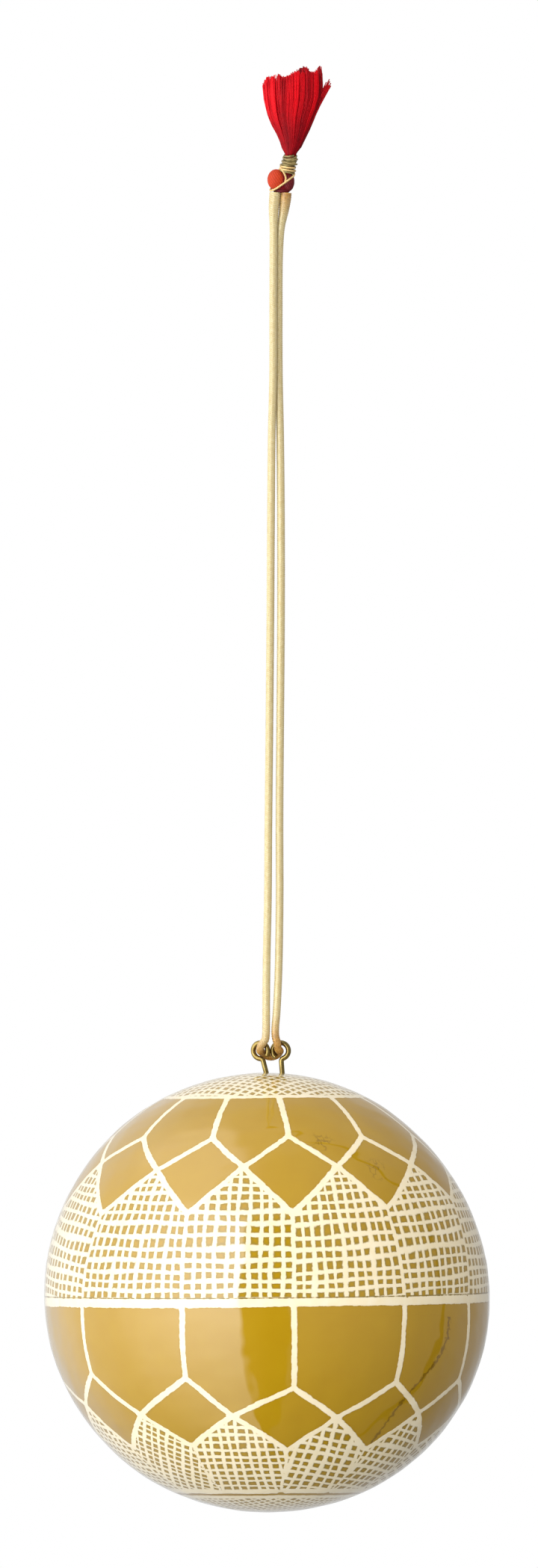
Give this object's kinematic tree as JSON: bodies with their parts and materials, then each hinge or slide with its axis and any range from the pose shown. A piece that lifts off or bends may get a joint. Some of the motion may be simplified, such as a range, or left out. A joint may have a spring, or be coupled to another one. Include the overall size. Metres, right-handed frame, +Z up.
{
  "type": "papier-mache ball ornament",
  "caption": "Round hand-painted papier-mache ball that hangs by a gold cord loop from brass wire eyes, with a small thread tassel above the loop.",
  "frame": {"origin": "hanging point at the top of the cord's loop, just under the tassel's head; the ball hangs straight below it", "axes": "+Z up along the hanging cord; +X to the viewer's right with the two wire eyes side by side; -Y towards the viewer"},
  "size_m": [0.1, 0.1, 0.325],
  "materials": {
    "painted_paper": "mustard gold ground with raised cream brush lines, under clear gloss lacquer",
    "brass_wire": "drawn wire, slightly tarnished",
    "gold_cord": "braided metallic yarn",
    "red_thread": "silky cut threads",
    "gold_thread": "metallic thread, dulled between its turns"
  },
  "bodies": {
    "root": {"ball": "painted_paper", "eye_left": "brass_wire", "eye_right": "brass_wire", "cord": "gold_cord", "tassel": "red_thread", "tassel_binding": "gold_thread"}
  },
  "joints": []
}
